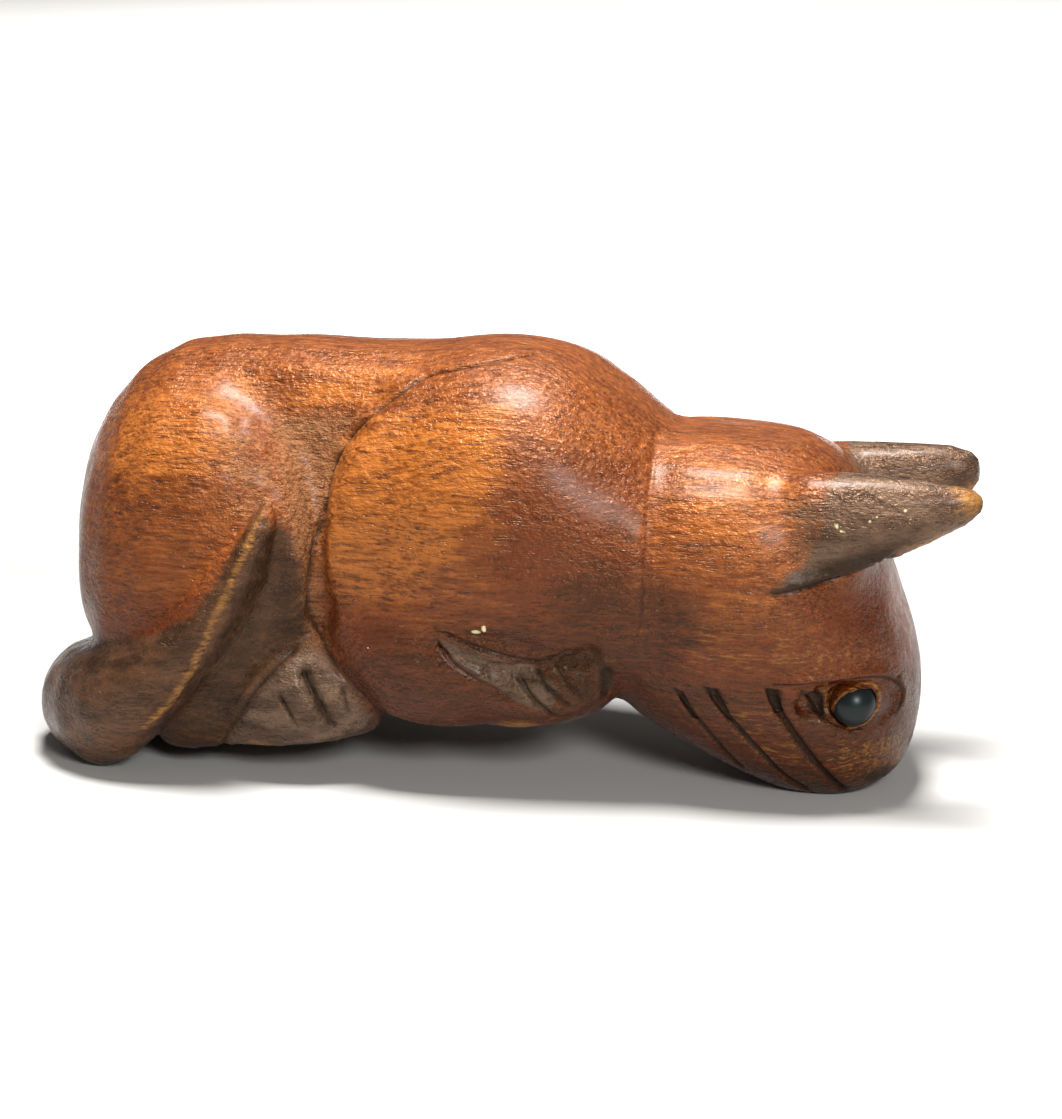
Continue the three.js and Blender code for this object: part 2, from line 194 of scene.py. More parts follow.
@dataclass(frozen=True)
class Patch:
    """A soft-edged place on the cat that is coloured or smoothed over.

    Attributes:
        at: Middle of the place in millimetres.
        reach: Its half sizes along x, y and z, in millimetres.
        tone: What colours it.
        amount: How strongly it is coloured, from 0 to 1.
    """

    at: Point
    reach: Point
    tone: Tone = Tone.STAIN
    amount: float = 1.0


def linear(hex_colour: str) -> tuple[float, float, float, float]:
    """Turns an sRGB hex colour into linear values.

    Args:
        hex_colour: Six hex digits with a leading hash.

    Returns:
        Linear red, green, blue and an alpha of one.
    """
    parts = [int(hex_colour[i : i + 2], 16) / 255 for i in (1, 3, 5)]
    low = [c / 12.92 if c <= 0.04045 else ((c + 0.055) / 1.055) ** 2.4 for c in parts]
    return (low[0], low[1], low[2], 1.0)


def smooth(value: np.ndarray) -> np.ndarray:
    """Eases a value between 0 and 1.

    Args:
        value: Numbers of any size.

    Returns:
        The same numbers held between 0 and 1 with soft ends.
    """
    held = np.clip(value, 0, 1)
    return held * held * (3 - 2 * held)


def inside_distance(outline: tuple[Place, ...], places: np.ndarray) -> np.ndarray:
    """Measures how far places lie inside an outline.

    Args:
        outline: The outline's corners.
        places: Rows of two coordinates.

    Returns:
        The distance to the outline, negative outside it.
    """
    corners = np.array(outline, dtype=float)
    gap = np.full(len(places), np.inf)
    inside = np.zeros(len(places), dtype=bool)
    for start, end in zip(corners, np.roll(corners, -1, axis=0)):
        along = end - start
        t = np.clip(((places - start) @ along) / (along @ along), 0, 1)
        gap = np.minimum(gap, np.linalg.norm(places - start - t[:, None] * along, axis=1))
        between = (start[1] > places[:, 1]) != (end[1] > places[:, 1])
        rise = along[1] if along[1] else 1.0
        crossing = start[0] + along[0] * (places[:, 1] - start[1]) / rise
        inside ^= between & (places[:, 0] < crossing)
    return np.where(inside, gap, -gap)


def link(obj: bpy.types.Object) -> bpy.types.Object:
    """Puts an object in the scene and returns it."""
    bpy.context.scene.collection.objects.link(obj)
    return obj


def rows_of(mesh: bpy.types.Mesh, name: str) -> np.ndarray:
    """Reads a vector of every vertex.

    Args:
        mesh: The mesh.
        name: The vector's name, such as co or normal.

    Returns:
        One row of three numbers for each vertex.
    """
    flat = np.empty(len(mesh.vertices) * 3)
    mesh.vertices.foreach_get(name, flat)
    return flat.reshape(-1, 3)


def drop(tree: BVHTree, view: View, across: float, z: float, side: int) -> Vector:
    """Finds the carving's surface at a drawn place.

    Args:
        tree: Search tree of the carving.
        view: The side from which the place is drawn.
        across: Place along the drawing's level axis in millimetres.
        z: Height in millimetres.
        side: Minus one for the near side and one for the far side.

    Returns:
        The point on the surface, in metres.
    """
    start = Vector((across * MM, side * 0.2, z * MM))
    heading = Vector((0, -side, 0))
    if view is View.FRONT:
        start = Vector((0.3, side * across * MM, z * MM))
        heading = Vector((-1, 0, 0))
    hit = tree.ray_cast(start, heading)[0]
    if hit is None:
        hit = tree.find_nearest(start + heading * 0.17)[0]
    return hit


def curved(path: tuple[Place, ...], step: float = 1.5) -> list[Place]:
    """Rounds a drawn line and adds places so that it follows the surface.

    Args:
        path: The drawn places.
        step: Spacing of the new places in millimetres.

    Returns:
        Places along a smooth curve through the drawn ones.
    """
    knots = np.array([path[0], *path, path[-1]], dtype=float)
    last = len(knots) - 3
    made = []
    for i in range(1, last + 1):
        before, start, end, after = knots[i - 1 : i + 3]
        count = max(2, int(np.linalg.norm(end - start) / step))
        for t in np.linspace(0, 1, count, endpoint=i == last):
            bend = 2 * before - 5 * start + 4 * end - after
            twist = -before + 3 * start - 3 * end + after
            made.append(0.5 * (2 * start + (end - before) * t + bend * t * t + twist * t**3))
    return [(float(x), float(z)) for x, z in made]


@dataclass
class LineReach:
    """Where each nearby vertex lies beside a line on the surface.

    Attributes:
        rows: Numbers of the vertices within reach.
        gap: Their distance from the line in metres.
        share: How far along the line each lies, from 0 to 1.
        above: Their height over the line across the surface, in metres.
    """

    rows: np.ndarray
    gap: np.ndarray
    share: np.ndarray
    above: np.ndarray

    @classmethod
    def find(
        cls, line: np.ndarray, reach: float, points: np.ndarray, normals: np.ndarray, side: int
    ) -> "LineReach":
        """Measures every vertex near a line.

        Args:
            line: Places along the line, in metres.
            reach: The longest distance that counts, in metres.
            points: All vertex places.
            normals: All vertex normals.
            side: The side of the cat that the line is on.

        Returns:
            The measurements.
        """
        low, high = line.min(0) - reach, line.max(0) + reach
        rows = np.where(((points > low) & (points < high)).all(1))[0]
        gap = np.full(len(rows), np.inf)
        share = np.zeros(len(rows))
        above = np.zeros(len(rows))
        lengths = np.maximum(np.linalg.norm(np.diff(line, axis=0), axis=1), 1e-9)
        run = np.concatenate([[0], np.cumsum(lengths)]) / lengths.sum()
        for i, (start, end) in enumerate(zip(line[:-1], line[1:])):
            along = (end - start) / lengths[i]
            t = np.clip((points[rows] - start) @ along, 0, lengths[i])
            offset = points[rows] - start - t[:, None] * along
            distance = np.linalg.norm(offset, axis=1)
            closer = distance < gap
            gap[closer] = distance[closer]
            share[closer] = (run[i] + t / lengths[i] * (run[i + 1] - run[i]))[closer]
            across = np.cross(along, normals[rows]) * side
            above[closer] = (offset * across).sum(1)[closer]
        return cls(rows, gap, share, above)


@dataclass
class CatCarving:
    """The carved block: body, head, ears, tail, legs and paws in one piece of wood.

    Attributes:
        strokes: Every carved line.
        regions: Every outlined area.
        patches: Every soft place.
        voxel: Size of the even mesh's faces in millimetres.
        fairing_rounds: How often the solid's facets are smoothed.
        knife_depth: Height of the blade's waves in millimetres.
        rough_depth: Height of the chisel marks in the waist, in millimetres.
        shade_top: Height at which the painted shade of the lower half starts, in millimetres.
        shade_foot: Height at which that painted shade is darkest, in millimetres.
    """

    strokes: tuple[Stroke, ...]
    regions: tuple[Region, ...]
    patches: tuple[Patch, ...]
    voxel: float = 2.0
    fairing_rounds: int = 40
    knife_depth: float = 0.16
    rough_depth: float = 0.8
    shade_top: float = 92.0
    shade_foot: float = 22.0

    def build(self) -> bpy.types.Object:
        """Makes the carving from a copy of the solid.

        Returns:
            The finished piece.
        """
        obj = self.welded()
        self.remeshed(obj)
        self.fair(self.fairing_rounds, SWELL)
        points = rows_of(self.mesh, "co") / MM
        broad = np.max([self.near(points, patch) for patch in BROAD], axis=0)
        self.fair(BROAD_ROUNDS, BROAD_SWELL, broad)
        for blemish, rounds in BLEMISHES:
            self.fill(blemish, rounds)
        for beyond in REFINED:
            self.refine(beyond)
        self.fair(RELIEF_ROUNDS, SWELL)
        self.tones: dict[Tone, np.ndarray] = {
            tone: np.zeros(len(self.mesh.vertices)) for tone in Tone
        }
        self.carve_regions()
        self.carve_strokes()
        self.knife_marks()
        for node, side in EYES.items():
            self.lids(node, side)
        self.write_tones()
        for face in self.mesh.polygons:
            face.use_smooth = True
        self.mesh.materials.append(LacqueredHardwood().build())
        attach(obj, "root")
        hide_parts("cat_carving")
        return obj

    def welded(self) -> bpy.types.Object:
        """Copies the solid's loose triangles and joins them.

        Returns:
            A new object with a closed mesh.
        """
        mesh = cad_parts["cat_carving"].data.copy()
        work = bmesh.new()
        work.from_mesh(mesh)
        bmesh.ops.remove_doubles(work, verts=work.verts, dist=1e-6)
        work.to_mesh(mesh)
        work.free()
        mesh.materials.clear()
        return link(bpy.data.objects.new("carved_wooden_cat", mesh))

    def remeshed(self, obj: bpy.types.Object) -> None:
        """Gives the carving an even, fine mesh for the relief.

        Args:
            obj: The welded copy of the solid.
        """
        remesh = obj.modifiers.new("even mesh", "REMESH")
        remesh.mode = "VOXEL"
        remesh.voxel_size = self.voxel * MM
        graph = bpy.context.evaluated_depsgraph_get()
        self.mesh = bpy.data.meshes.new_from_object(obj.evaluated_get(graph))
        obj.modifiers.clear()
        obj.data = self.mesh

    def settle(self, points: np.ndarray) -> None:
        """Moves the mesh to new places, none of them outside the solid's box.

        Args:
            points: One row for each vertex, in metres.
        """
        low, high = (np.array(corner) for corner in CAD_BOX)
        self.mesh.vertices.foreach_set("co", np.clip(points, low, high).ravel())
        self.mesh.update()

    def relax(self, moves: tuple[float, ...], share: np.ndarray) -> None:
        """Moves vertices towards or away from the mean of their neighbours.

        Args:
            moves: The size of each move in turn, negative away from the mean.
            share: How much of each move every vertex takes.
        """
        points = rows_of(self.mesh, "co")
        edges = np.empty(len(self.mesh.edges) * 2, dtype=np.int32)
        self.mesh.edges.foreach_get("vertices", edges)
        edges = edges.reshape(-1, 2)
        edges = edges[(share[edges] > 0).any(axis=1)]
        rows, local = np.unique(edges, return_inverse=True)
        first, second = local.reshape(-1, 2).T
        count = np.bincount(local.ravel(), minlength=len(rows))
        weight = share[rows] / count
        places = points[rows].T.copy()
        for move in moves:
            for axis in places:
                total = np.bincount(first, axis[second], len(rows))
                total += np.bincount(second, axis[first], len(rows))
                axis += move * weight * (total - count * axis)
        points[rows] = places.T
        self.settle(points)

    def fair(self, rounds: int, swell: float, share: np.ndarray | None = None) -> None:
        """Takes the facets out of the surface without thinning the carving.

        Args:
            rounds: How many times the surface is smoothed and swelled back.
            swell: Share of each swelling move, a negative number.
            share: How much of the smoothing each vertex takes, or all of it.
        """
        everywhere = np.ones(len(self.mesh.vertices))
        self.relax((SMOOTHING, swell) * rounds, everywhere if share is None else share)

    def near(self, points: np.ndarray, patch: Patch) -> np.ndarray:
        """Measures how near vertices are to a patch on either side of the cat.

        Args:
            points: Vertex places in millimetres.
            patch: The patch, given on the near side.

        Returns:
            One inside the patch, and less towards its edge.
        """
        folded = points * (1, 0, 1) - np.abs(points) * (0, 1, 0)
        gap = np.linalg.norm((folded - patch.at) / np.array(patch.reach), axis=1)
        return smooth((1 - gap) * 3)

    def fill(self, blemish: Patch, rounds: int) -> None:
        """Draws the surface taut over a place, as filler would.

        Args:
            blemish: The place.
            rounds: How many times it is smoothed.
        """
        share = self.near(rows_of(self.mesh, "co") / MM, blemish)
        self.relax((1.0,) * rounds, share)

    def tree(self) -> BVHTree:
        """Returns a search tree of the carving as it stands."""
        work = bmesh.new()
        work.from_mesh(self.mesh)
        made = BVHTree.FromBMesh(work)
        work.free()
        return made

    def lines(self) -> list[tuple[Stroke, int, np.ndarray]]:
        """Lays every stroke on the surface.

        Returns:
            Each stroke with its side and its places in metres.
        """
        tree = self.tree()
        laid = []
        for stroke in self.strokes:
            for side in stroke.sides:
                places = [drop(tree, stroke.view, x, z, side) for x, z in curved(stroke.path)]
                laid.append((stroke, side, np.array(places)))
        return laid

    def refine(self, beyond: float) -> None:
        """Splits the faces round the carved lines.

        Args:
            beyond: How far past each mark's edge the finer faces go, in millimetres.
        """
        points = rows_of(self.mesh, "co")
        normals = rows_of(self.mesh, "normal")
        chosen = np.zeros(len(points), dtype=bool)
        for stroke, side, line in self.lines():
            reach = (stroke.width + beyond) * MM
            found = LineReach.find(line, reach, points, normals, side)
            chosen[found.rows[found.gap < reach]] = True
        for node in EYES:
            low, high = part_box(node)
            gap = np.linalg.norm(points - np.array((low + high) / 2), axis=1)
            chosen |= gap < LID_REACH * MM
        for patch in self.patches:
            if patch.tone is Tone.CREAM:
                gap = (points / MM - patch.at) / (SPECK_REACH, patch.reach[1], SPECK_REACH)
                chosen |= np.linalg.norm(gap, axis=1) < 1
        work = bmesh.new()
        work.from_mesh(self.mesh)
        work.verts.ensure_lookup_table()
        edges = [e for e in work.edges if chosen[e.verts[0].index] and chosen[e.verts[1].index]]
        bmesh.ops.subdivide_edges(work, edges=edges, cuts=1, use_grid_fill=True)
        work.to_mesh(self.mesh)
        work.free()

    def stain(self, tone: Tone, share: np.ndarray) -> None:
        """Colours the wood wherever the share is above what is there already.

        Args:
            tone: The colour.
            share: Its share on every vertex, from 0 to 1.
        """
        self.tones[tone] = np.maximum(self.tones[tone], share)

    def carve_regions(self) -> None:
        """Hollows and colours every outlined area, paints shade over the lower half, and colours every
        soft place.
        """
        points = rows_of(self.mesh, "co")
        normals = rows_of(self.mesh, "normal")
        moved = np.zeros(len(points))
        scaled = points / MM
        for region in self.regions:
            gap = inside_distance(region.outline, scaled[:, (0, 2)])
            for side in region.sides:
                facing = smooth((scaled[:, 1] * side - region.from_y) / 5 + 0.5)
                shape = smooth(gap / region.edge) * np.clip(normals[:, 1] * side * 2, 0, 1)
                moved -= region.depth * shape * facing
                share = region.amount * np.clip(0.5 + gap / (2 * region.soft), 0, 1) * facing
                self.stain(region.tone, share)
        # Painted shade: red-brown and then umber darken the wood towards the bottom, where less light
        # falls
        low = smooth((self.shade_top - scaled[:, 2]) / (self.shade_top - self.shade_foot))
        self.stain(Tone.RED, SHADE_STRENGTH * low)
        darkest_top = DARKEST_TOP * self.shade_top
        deepest_painted_shade = smooth((darkest_top - scaled[:, 2]) / (DARKEST_SPAN * self.shade_top))
        self.stain(Tone.UMBER, SHADE_STRENGTH * deepest_painted_shade)
        for patch in self.patches:
            gap = np.linalg.norm((scaled - patch.at) / np.array(patch.reach), axis=1)
            self.stain(patch.tone, patch.amount * smooth(1.5 - gap))
        self.settle(points + normals * (moved * MM)[:, None])

    def carve_strokes(self) -> None:
        """Cuts every carved line."""
        points = rows_of(self.mesh, "co")
        normals = rows_of(self.mesh, "normal")
        moved = np.zeros(len(points))
        for stroke, side, line in self.lines():
            found = LineReach.find(line, stroke.width * MM * 3, points, normals, side)
            self.cut(stroke, found, moved)
        self.settle(points + normals * (moved * MM)[:, None])

    def cut(self, stroke: Stroke, found: LineReach, moved: np.ndarray) -> None:
        """Adds one line to the moves and the tones.

        Args:
            stroke: The carved line.
            found: The vertices beside it.
            moved: Outward move of each vertex in millimetres, changed here.
        """
        rows = found.rows
        gap = found.gap / (stroke.width * MM)
        ends = np.minimum(1, np.minimum(found.share * 10 + 0.3, (1 - found.share) * 14 + 0.25))
        fade = (1 + (stroke.taper - 1) * found.share) * ends
        tone = self.tones[stroke.tone]
        if stroke.cut is Cut.LEDGE:
            above = found.above / (stroke.width * MM)
            step = smooth(above / 0.5 + 0.5) * np.clip(1 - gap / 3, 0, 1) ** 1.3
            groove = np.clip(1 - np.abs(above + 0.3) / 0.8, 0, 1) * (gap < 1.4)
            moved[rows] += stroke.depth * fade * (step - 0.6 * groove)
            # Painted shade, with some dirt, darkens the foot of the step
            tone[rows] = np.maximum(tone[rows], stroke.amount * groove)
            return
        shape = np.clip(1 - gap, 0, 1)
        if stroke.cut is Cut.RIDGE:
            moved[rows] += stroke.depth * fade * shape
            tone[rows] = np.maximum(tone[rows], stroke.amount * np.clip(1.2 - gap, 0, 1))
            return
        moved[rows] = np.minimum(moved[rows], -stroke.depth * fade * shape)
        # Painted shade, with some dirt, darkens the cut along its middle
        dirt = stroke.amount * np.minimum(1, fade + 0.3) * np.clip(1.1 - gap, 0, 1)
        tone[rows] = np.maximum(tone[rows], dirt)

    def knife_marks(self) -> None:
        """Leaves a blade's slight waves all over, and chisel marks in the rough places."""
        points = rows_of(self.mesh, "co")
        normals = rows_of(self.mesh, "normal")
        rough = self.tones[Tone.ROUGH]
        wave = np.empty(len(points))
        for i, (x, y, z) in enumerate(points / MM):
            wave[i] = self.knife_depth * noise.noise(Vector((x / 24, y / 12, z / 12)))
            if rough[i] > 0.05:
                chips = noise.noise(Vector((x / 3, y / 3.4, z / 7)))
                wave[i] += self.rough_depth * rough[i] * chips
        self.settle(points + normals * (wave * MM)[:, None])

    def lids(self, node: str, side: int) -> None:
        """Closes the wood round a bead until a tilted oval of it shows.

        Args:
            node: The bead's node in the solid.
            side: The side of the cat.
        """
        low, high = (np.array(corner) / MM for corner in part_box(node))
        radius = (high - low).min() / 2
        lean = math.radians(LID_TILT)
        points = rows_of(self.mesh, "co") / MM
        offset = points - (low + high) / 2
        height = offset[:, 1] * side
        reach = np.hypot(offset[:, 0], offset[:, 2])
        along = offset[:, 0] * math.cos(lean) + offset[:, 2] * math.sin(lean)
        across = offset[:, 0] * math.sin(lean) - offset[:, 2] * math.cos(lean) - LID_SHIFT
        # One on the opening's edge, less inside it and more on the lids
        oval = np.hypot(along / LID_LONG, across / LID_SHORT)
        ball = np.sqrt(np.maximum(radius**2 - reach**2, 0))
        near = (np.abs(height) < LID_DEPTH) & (reach < LID_REACH)
        closed = smooth((oval - 0.98) / 0.05) * smooth((LID_REACH - reach) / LID_FADE)
        lift = near * closed * np.maximum(ball + LID_THICKNESS - height, 0)
        opened = 1 - smooth((oval - 0.92) / 0.06)
        lift -= near * opened * np.maximum(height - ball + SOCKET_CLEARANCE, 0)
        self.settle((points + lift[:, None] * (0, side, 0)) * MM)
        self.relax((SMOOTHING,) * RELIEF_ROUNDS, near * smooth((oval - 1.02) / 0.1))
        # Painted shade along the lids' edge against the bead, and a painted highlight on the lit rim of
        # the lids round it
        rim = near * np.clip(1 - np.abs(oval - 0.99) / 0.09, 0, 1)
        self.stain(Tone.GRIME_AND_SHADE, 0.9 * rim)
        lit_rim = near * (height < ball + 2) * np.clip(1 - np.abs(oval - 1.22) / 0.2, 0, 1)
        self.stain(Tone.OCHRE, 0.5 * lit_rim)

    def write_tones(self) -> None:
        """Stores every tone on the vertices for the wood's material to read."""
        for tone, values in self.tones.items():
            layer = self.mesh.attributes.new(tone.value, "FLOAT", "POINT")
            layer.data.foreach_set("value", np.clip(values, 0, 1).astype(np.float32))


# Haunch, shoulder and neck, whose facets are smoothed into broad carved forms
BROAD = (
    Patch((-125, 0, 88), (42, 75, 50)),
    Patch((0, 0, 98), (50, 75, 48)),
    Patch((88, 0, 70), (36, 60, 48)),
)
# Filled seat of the ear hollow, dent in the waist and sharp ear tip, with their smoothing rounds
BLEMISHES = (
    (Patch((113, -24, 71), (14, 15, 13)), 230),
    (Patch((-53, -36, 58), (8, 14, 20)), 22),
    (Patch((150, -24, 98), (7, 30, 12)), 1),
)

STROKES = (
    # Chest outline in the waist, with the crack that runs up over the back
    Stroke(
        ((12, 134), (-3, 132), (-19, 128), (-26, 124), (-36, 116)),
        1.2, 1.1, amount=0.8, taper=1.4,
    ),
    Stroke(((-34, 118), (-42, 110), (-48, 99), (-50, 86), (-53, 72)), 1.3, 1.5, amount=0.6, taper=1),
    Stroke(((-52, 76), (-54, 60), (-53, 51), (-47, 41), (-39, 32), (-31, 22)), 1.3, 1.6, amount=0.6),
    # Sharp back of the tail, rubbed through to bare ochre wood in places, with painted highlight along the
    # ridge
    Stroke(
        ((-65, 90), (-69, 78), (-77, 60), (-85, 43), (-94, 29), (-103, 19)),
        1.9, 2.7, Cut.RIDGE, 0.45, Tone.OCHRE, (NEAR,), 0.5,
    ),
    # Tail edge against the rump
    Stroke(
        ((-69, 88), (-76, 74), (-84, 61), (-97, 52), (-110, 47)),
        0.7, 2.6, amount=0.3, sides=(NEAR,),
    ),
    # Toes of the hind foot
    Stroke(((-62, 30), (-59, 25), (-56, 19)), 1.3, 1.1, amount=0.8),
    Stroke(((-55, 38), (-51, 30), (-45, 19)), 2.6, 2.5, amount=0.7, taper=0.6),
    Stroke(((-84, 7), (-77, 20), (-68, 33), (-57, 45)), 1.1, 2.4, amount=0.6, taper=0.8),
    Stroke(((-43, 33), (-40, 23)), 0.9, 1.2, amount=0.6),
    # Front paw: overhanging chest and bright edge of the paw, each with painted shade below it, and toes
    Stroke(((28, 49), (18, 45), (3, 49), (-10, 54)), 1.9, 1.6, Cut.LEDGE, 0.75, taper=0.8),
    Stroke(((-11, 52), (-6, 45), (3, 39), (12, 34)), 1.3, 1.5, Cut.LEDGE, 0.5, taper=0.6),
    Stroke(((13, 41), (18, 34), (24, 27)), 1.7, 1.5, amount=0.7, taper=0.7),
    Stroke(((18, 43), (23, 37), (29, 31)), 1.7, 1.4, amount=0.7, taper=0.7),
    Stroke(((24, 45), (28, 40), (33, 34)), 1.0, 1.2, amount=0.6, taper=0.7),
    # Neck, where the shoulders stop
    Stroke(
        ((50, 112), (51, 101), (52, 85), (52, 67), (50, 55), (45, 45)),
        0.5, 1.6, amount=0.25, taper=0.8,
    ),
    # Crease under the ear, darkened as painted shadow
    Stroke(((92, 72.5), (98, 73.5), (106, 75.5), (114, 78), (122, 82)), 1.8, 2.0, Cut.LEDGE, 0.9, taper=1),
    # Whiskers
    Stroke(((89, 40), (92, 33), (98, 22), (104, 12), (111, 2)), 2.4, 1.8, amount=1, taper=0.8),
    Stroke(((71, 39), (77, 29), (86, 17), (92, 9), (100, 2)), 2.1, 1.6, amount=1, taper=0.7),
    Stroke(((61, 37), (68, 26), (76, 14), (80, 9)), 1.8, 1.4, amount=1, taper=0.6),
    # Upper and lower edge of the almond socket, and its faint raised rim round the bead
    Stroke(
        ((92, 43), (98, 43.4), (108, 44), (118, 44), (124, 42), (127.5, 36), (126, 30)),
        1.7, 1.3, Cut.LEDGE, 0.95,
    ),
    Stroke(((98, 39), (102, 34), (106, 29), (113, 25.4), (119, 26.4), (124, 28)), 0.6, 0.9, amount=0.6),
    Stroke(
        ((113, 42), (107, 39), (105, 34), (107, 29), (113, 26.5), (119, 29), (121, 35), (119, 40),
         (113, 42)),
        0.1, 3.0, Cut.RIDGE, 0.0, taper=1,
    ),
    # Nose and mouth
    Stroke(((0, 13), (3, 15), (5, 17), (0, 18)), 0.9, 1.4, amount=0.8, view=View.FRONT),
    Stroke(((0, 12), (0, 8), (3, 5), (8, 4.5), (12, 6)), 1.5, 1.3, amount=0.95, view=View.FRONT),
)

TAIL = (
    (-66, 92), (-71, 84), (-80, 67), (-87, 57), (-101, 49), (-124, 43), (-152, 30), (-152, -4),
    (-78, -4), (-74, 18), (-64, 34), (-54, 47), (-54, 63), (-57, 80),
)
TAIL_SHADE = (
    (-64, 88), (-57, 78), (-56, 47), (-68, 35), (-80, 14), (-86, 0), (-112, 8), (-100, 22),
    (-92, 31), (-83, 45), (-75, 61), (-68, 77),
)
WAIST = (
    (-70, 114), (-40, 116), (-46, 100), (-49, 83), (-52, 60), (-45, 41), (-60, 44), (-61, 60),
    (-59, 84), (-63, 98),
)
HIND_FOOT = ((-82, 10), (-76, 22), (-67, 35), (-56, 46), (-50, 44), (-41, 34), (-32, 18), (-50, 6))
PAW = ((-10, 53), (3, 48), (18, 44), (26, 37), (22, 29), (12, 33), (3, 39), (-6, 45))
POCKET = ((-8, 53.5), (-1, 56.5), (12, 56), (22, 53), (27, 49), (18, 45), (3, 49))
PAW_GAP = ((37, 45), (42, 44), (41, 36), (37, 33))
SOCKET = (
    (93, 42), (108, 43.5), (122, 42.5), (127, 37), (126, 30), (122, 27), (113, 25.5), (106, 29),
    (101, 33), (97, 39),
)
NOTCH = ((98, 41), (105, 37), (106, 31), (101, 32))
EAR = (
    (104, 104), (110, 107), (152, 108), (154, 97), (141, 90), (127, 83), (114, 79), (100, 73.5),
    (89, 72), (98, 80), (104, 92),
)
EAR_SHADE = ((88, 71), (97, 78.5), (111, 83), (127, 88), (124, 81), (113, 76.5), (105, 74), (97, 72))

